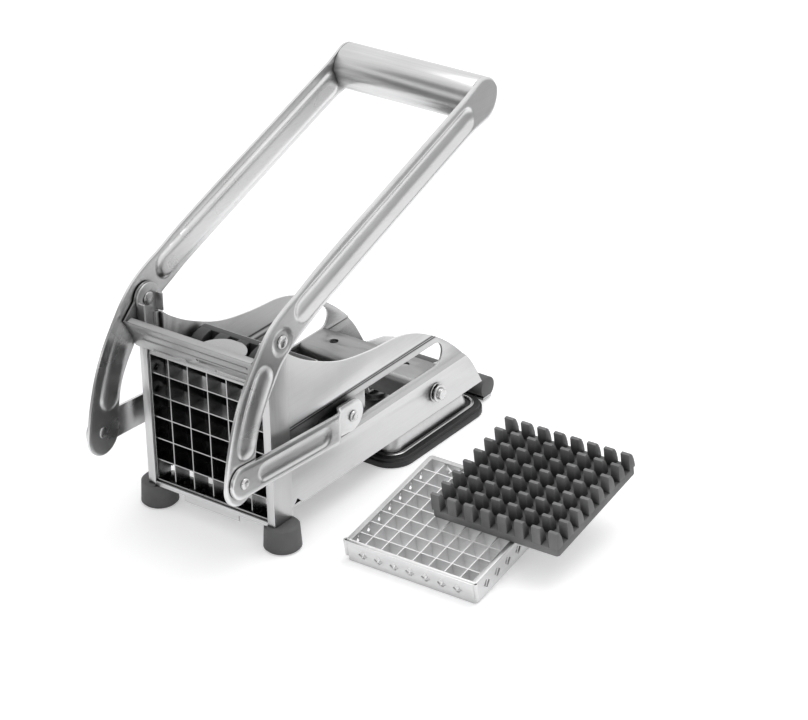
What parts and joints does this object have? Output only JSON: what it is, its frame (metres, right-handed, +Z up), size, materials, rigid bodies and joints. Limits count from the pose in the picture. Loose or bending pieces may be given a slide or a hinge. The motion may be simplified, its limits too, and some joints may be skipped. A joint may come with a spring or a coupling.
{
  "type": "french fry cutter",
  "caption": "Hand lever french fry cutter of folded steel on a suction base, with a sliding peg pusher, a lift-out blade grid and a spare grid and block.",
  "frame": {"origin": "on the table, in the middle of the suction pad's underside", "axes": "+X to the right seen from the blade end, +Y to the rear towards the clamp grip, +Z up"},
  "size_m": [0.2301, 0.2408, 0.1975],
  "materials": {
    "steel": "satin brushed",
    "bright_steel": "bright rolled",
    "black_rubber": "matte",
    "grey_rubber": "matte",
    "black_plastic": "moulded satin"
  },
  "bodies": {
    "base": {"body_shell": "steel", "left_post": "steel", "right_post": "steel", "front_sill": "steel", "grid_guides": "steel", "left_foot": "grey_rubber", "right_foot": "grey_rubber", "clamp_bridge": "steel", "suction_dome": "steel", "dome_bead": "steel", "suction_pad": "black_rubber", "dome_collar": "steel", "pivot_rivets": "bright_steel"},
    "lever": {"left_lever_arm": "steel", "right_lever_arm": "steel", "handle_tube": "steel", "lever_pin_heads": "bright_steel"},
    "pusher": {"pusher_carriage": "steel", "pusher_block": "black_plastic", "pusher_screws": "bright_steel", "guide_bushes": "black_plastic", "cross_pin": "bright_steel"},
    "left_link": {"left_link": "steel", "left_link_pin": "bright_steel"},
    "right_link": {"right_link": "steel", "right_link_pin": "bright_steel"},
    "flap": {"retainer_flap": "steel"},
    "cutting_grid": {"grid_frame": "bright_steel", "grid_upright_blades": "bright_steel", "grid_level_blades": "bright_steel"},
    "clamp_lever": {"clamp_plate": "steel", "clamp_grip": "grey_rubber", "clamp_axle": "bright_steel", "axle_clips": "bright_steel"},
    "stem": {"clamp_stem": "bright_steel"},
    "spare_grid": {"spare_grid_frame": "bright_steel", "spare_upright_blades": "bright_steel", "spare_level_blades": "bright_steel"},
    "spare_pusher_block": {"spare_block": "black_plastic"}
  },
  "joints": [
    {"name": "lever_hinge", "type": "hinge", "parent": "base", "child": "lever", "pos_m": [0, -0.1345, 0.1177], "axis": [1, 0, 0], "range_deg": [-14, 62]},
    {"name": "pusher_slide", "type": "slide", "parent": "base", "child": "pusher", "axis": [0, 1, 0], "range_m": [-0.0168, 0.074]},
    {"name": "left_link_hinge", "type": "hinge", "parent": "pusher", "child": "left_link", "pos_m": [0, -0.078, 0.0503], "axis": [1, 0, 0], "range_deg": [-1, 2.2]},
    {"name": "right_link_hinge", "type": "hinge", "parent": "pusher", "child": "right_link", "pos_m": [0, -0.078, 0.0503], "axis": [1, 0, 0], "range_deg": [-1, 2.2]},
    {"name": "flap_hinge", "type": "hinge", "parent": "base", "child": "flap", "pos_m": [0, -0.1345, 0.1177], "axis": [1, 0, 0], "range_deg": [-60, 0]},
    {"name": "grid_lift", "type": "slide", "parent": "base", "child": "cutting_grid", "axis": [0, 0, 1], "range_m": [0, 0.09]},
    {"name": "clamp_hinge", "type": "hinge", "parent": "base", "child": "clamp_lever", "pos_m": [0, -0.0024, 0.0295], "axis": [1, 0, 0], "range_deg": [0, 46]},
    {"name": "stem_slide", "type": "slide", "parent": "base", "child": "stem", "axis": [0, 0, 1], "range_m": [-0.0013, 0]},
    {"name": "spare_grid_lift", "type": "slide", "parent": "base", "child": "spare_grid", "axis": [0, 0, 1], "range_m": [0, 0.06]},
    {"name": "spare_block_lift", "type": "slide", "parent": "spare_grid", "child": "spare_pusher_block", "axis": [0, 0, 1], "range_m": [0, 0.06]}
  ],
  "couplings": [
    {"joint": "pusher_slide", "follows": "lever_hinge", "m_per_rad": 0.0682},
    {"joint": "left_link_hinge", "follows": "lever_hinge", "ratio": 0.03},
    {"joint": "right_link_hinge", "follows": "lever_hinge", "ratio": 0.03},
    {"joint": "stem_slide", "follows": "clamp_hinge", "m_per_rad": -0.00145}
  ]
}
